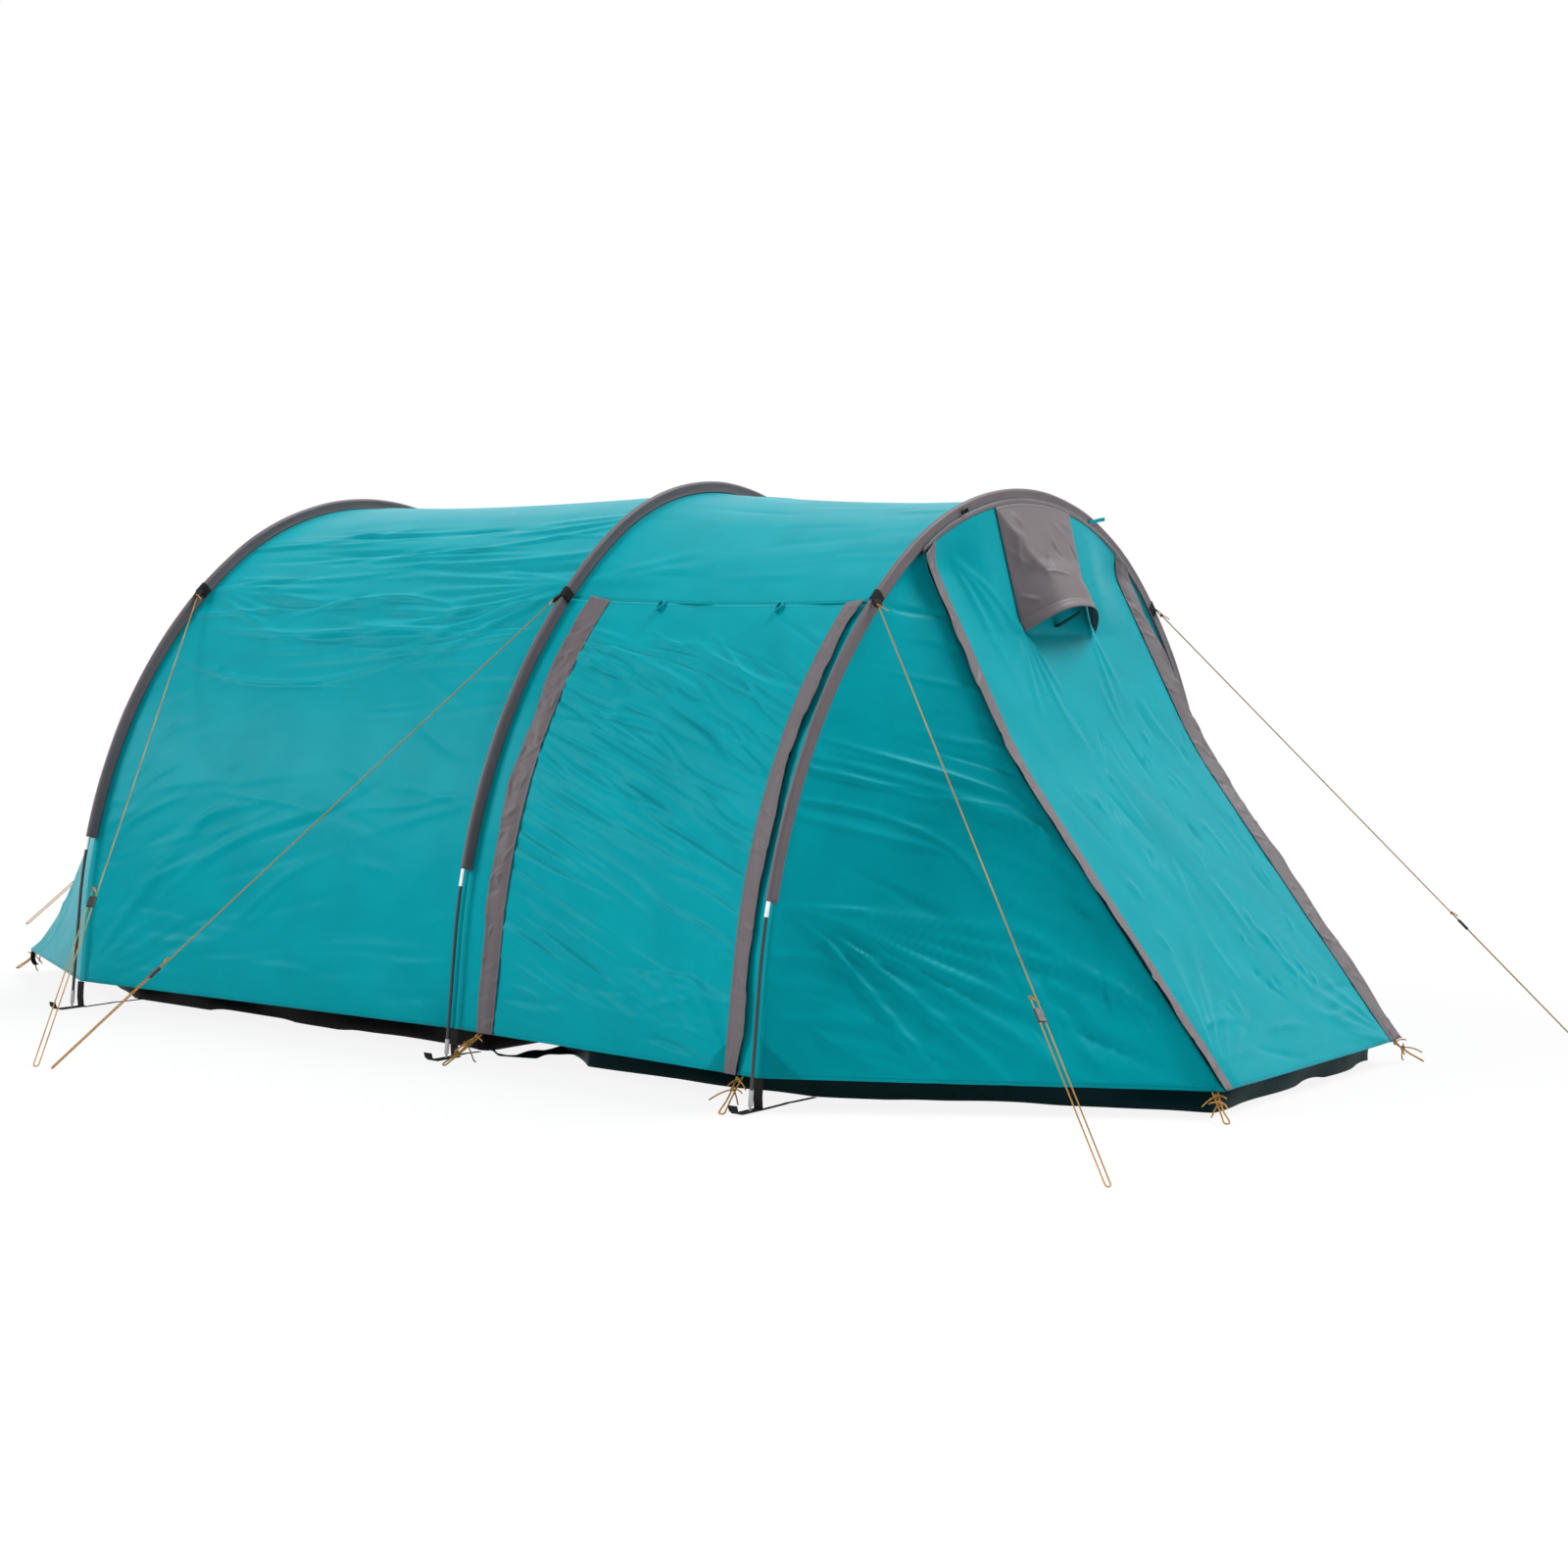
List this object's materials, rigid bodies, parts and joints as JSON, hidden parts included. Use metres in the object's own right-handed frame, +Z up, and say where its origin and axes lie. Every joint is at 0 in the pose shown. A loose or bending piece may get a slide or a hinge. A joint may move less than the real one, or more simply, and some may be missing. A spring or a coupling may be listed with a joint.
{
  "type": "tunnel tent",
  "caption": "Tunnel tent on bent pole arches with a sleeping cabin, a porch with a zipped side door, a sloping zipped front door with a vent hood, and guy lines.",
  "frame": {"origin": "centre of the footprint on the ground, without the guy lines", "axes": "+X along the tent towards the front door, +Z up, the side door faces -Y"},
  "size_m": [5.0529, 3.7116, 1.5068],
  "materials": {
    "fly_cloth": "satin coated polyester, teal",
    "grey_cloth": "satin coated polyester, taupe grey",
    "pole": "glossy fibreglass rod, near black",
    "ferrule": "bright drawn steel",
    "tip": "matt cast tip",
    "shock_cord": "braided elastic, off white",
    "zip": "black coil zip on tape",
    "slider": "black lacquered zip slider",
    "mesh": "fine black mesh",
    "webbing": "black woven webbing",
    "cord": "amber braided cord",
    "runner": "black moulded runner",
    "bedroom_floor": "black coated groundsheet",
    "porch_floor": "dark green coated groundsheet",
    "inner_cloth": "breathable uncoated polyester, off white"
  },
  "bodies": {
    "tent": {"arch_foot_straps": "webbing", "bedroom_floor": "bedroom_floor", "door_tie_loops": "fly_cloth", "foot_elastics": "webbing", "front_arch_rods": "pole", "front_arch_sleeve": "grey_cloth", "front_door_zips": "zip", "front_far_wing": "fly_cloth", "front_near_wing": "fly_cloth", "guy_line_front_far": "cord", "guy_line_front_near": "cord", "guy_line_middle_far": "cord", "guy_line_middle_near": "cord", "guy_line_rear_far": "cord", "guy_line_rear_near": "cord", "guy_line_tail": "cord", "guy_tabs": "webbing", "inner_cabin_walls": "inner_cloth", "inner_front_wall": "inner_cloth", "inner_rear_panel": "inner_cloth", "inner_tent_toggles": "webbing", "middle_arch_rods": "pole", "middle_arch_sleeve": "grey_cloth", "middle_bay_far_wall": "fly_cloth", "middle_bay_roof": "fly_cloth", "peg_cords": "cord", "pole_ferrules": "ferrule", "pole_shock_cords": "shock_cord", "pole_tips": "tip", "porch_floor": "porch_floor", "rear_arch_rods": "pole", "rear_arch_sleeve": "grey_cloth", "rear_bay_canopy": "fly_cloth", "rear_corner_straps": "webbing", "rear_end_panel": "fly_cloth", "side_door_front_margin": "fly_cloth", "side_door_rear_margin": "fly_cloth", "side_door_zips": "zip"},
    "side_door": {"side_door_panel": "fly_cloth", "side_door_flaps": "grey_cloth"},
    "front_door": {"front_door_panel": "fly_cloth", "front_door_flaps": "grey_cloth", "vent_mesh": "mesh", "vent_hood": "grey_cloth"},
    "vent_prop": {"vent_strut": "webbing"},
    "inner_door": {"inner_door_panel": "inner_cloth"},
    "side_zip_slider_rear": {"side_zip_slider_rear": "slider"},
    "side_zip_slider_front": {"side_zip_slider_front": "slider"},
    "front_zip_slider_near": {"front_zip_slider_near": "slider"},
    "front_zip_slider_far": {"front_zip_slider_far": "slider"},
    "guy_runner_rear_near": {"guy_runner_rear_near": "runner"},
    "guy_runner_rear_far": {"guy_runner_rear_far": "runner"},
    "guy_runner_middle_near": {"guy_runner_middle_near": "runner"},
    "guy_runner_middle_far": {"guy_runner_middle_far": "runner"},
    "guy_runner_front_near": {"guy_runner_front_near": "runner"},
    "guy_runner_front_far": {"guy_runner_front_far": "runner"},
    "guy_runner_tail": {"guy_runner_tail": "runner"}
  },
  "joints": [
    {"name": "side_door_swing", "type": "hinge", "parent": "tent", "child": "side_door", "pos_m": [0.594, -0.66767, 1.16602], "axis": [-0.9993, 0.0371, 0], "range_deg": [0, 95]},
    {"name": "front_door_swing", "type": "hinge", "parent": "tent", "child": "front_door", "pos_m": [1.086, 0, 1.447], "axis": [0, -1, 0], "range_deg": [0, 75]},
    {"name": "vent_prop_fold", "type": "hinge", "parent": "front_door", "child": "vent_prop", "pos_m": [1.16962, 0, 1.11592], "axis": [0, 1, 0], "range_deg": [0, 75]},
    {"name": "inner_door_swing", "type": "hinge", "parent": "tent", "child": "inner_door", "pos_m": [0.0373, -0.372, 0.64], "axis": [0, 0, -1], "range_deg": [0, 90]},
    {"name": "side_zip_slider_rear_run", "type": "slide", "parent": "tent", "child": "side_zip_slider_rear", "axis": [0, 0.0906, 0.9959], "range_m": [0, 0.13]},
    {"name": "side_zip_slider_front_run", "type": "slide", "parent": "tent", "child": "side_zip_slider_front", "axis": [0, 0.0906, 0.9959], "range_m": [0, 0.13]},
    {"name": "front_zip_slider_near_run", "type": "slide", "parent": "tent", "child": "front_zip_slider_near", "axis": [-0.6244, 0, 0.7811], "range_m": [0, 0.72]},
    {"name": "front_zip_slider_far_run", "type": "slide", "parent": "tent", "child": "front_zip_slider_far", "axis": [-0.6244, 0, 0.7811], "range_m": [0, 0.72]},
    {"name": "guy_runner_rear_near_slide", "type": "slide", "parent": "tent", "child": "guy_runner_rear_near", "axis": [0.3949, -0.6381, -0.661], "range_m": [0, 0.2]},
    {"name": "guy_runner_rear_far_slide", "type": "slide", "parent": "tent", "child": "guy_runner_rear_far", "axis": [0.3949, 0.6381, -0.661], "range_m": [0, 0.2]},
    {"name": "guy_runner_middle_near_slide", "type": "slide", "parent": "tent", "child": "guy_runner_middle_near", "axis": [-0.3327, -0.666, -0.6677], "range_m": [0, 0.2]},
    {"name": "guy_runner_middle_far_slide", "type": "slide", "parent": "tent", "child": "guy_runner_middle_far", "axis": [-0.3327, 0.666, -0.6677], "range_m": [0, 0.2]},
    {"name": "guy_runner_front_near_slide", "type": "slide", "parent": "tent", "child": "guy_runner_front_near", "axis": [0.6058, -0.3767, -0.7008], "range_m": [0, 0.2]},
    {"name": "guy_runner_front_far_slide", "type": "slide", "parent": "tent", "child": "guy_runner_front_far", "axis": [0.6058, 0.3767, -0.7008], "range_m": [0, 0.2]},
    {"name": "guy_runner_tail_slide", "type": "slide", "parent": "tent", "child": "guy_runner_tail", "axis": [-0.8338, 0, -0.5521], "range_m": [0, 0.2]}
  ]
}
